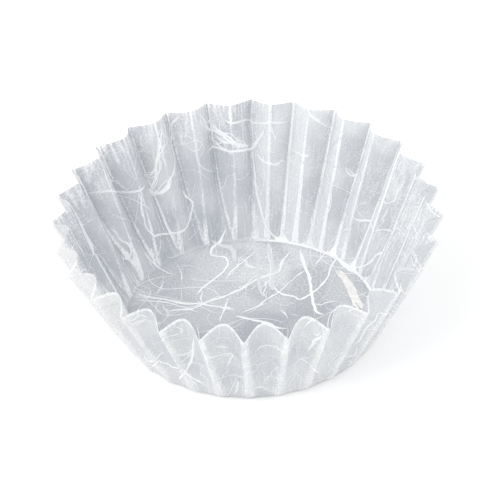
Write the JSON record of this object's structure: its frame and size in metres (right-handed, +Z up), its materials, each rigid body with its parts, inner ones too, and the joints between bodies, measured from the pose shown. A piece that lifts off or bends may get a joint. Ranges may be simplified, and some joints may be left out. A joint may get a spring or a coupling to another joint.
{
  "type": "food cup",
  "caption": "Small round food cup with a flat base and a flared, fluted wall, pressed from one blank of thin translucent film.",
  "frame": {"origin": "centre of the underside of the flat base", "axes": "+Z up along the cup's axis, out of its mouth; +Y towards the back, close to one outer ridge"},
  "size_m": [0.0844, 0.0844, 0.0287],
  "materials": {
    "film": "translucent cool white film with long white fibres inside it and a soft sheen"
  },
  "bodies": {
    "root": {"cup": "film"}
  },
  "joints": []
}
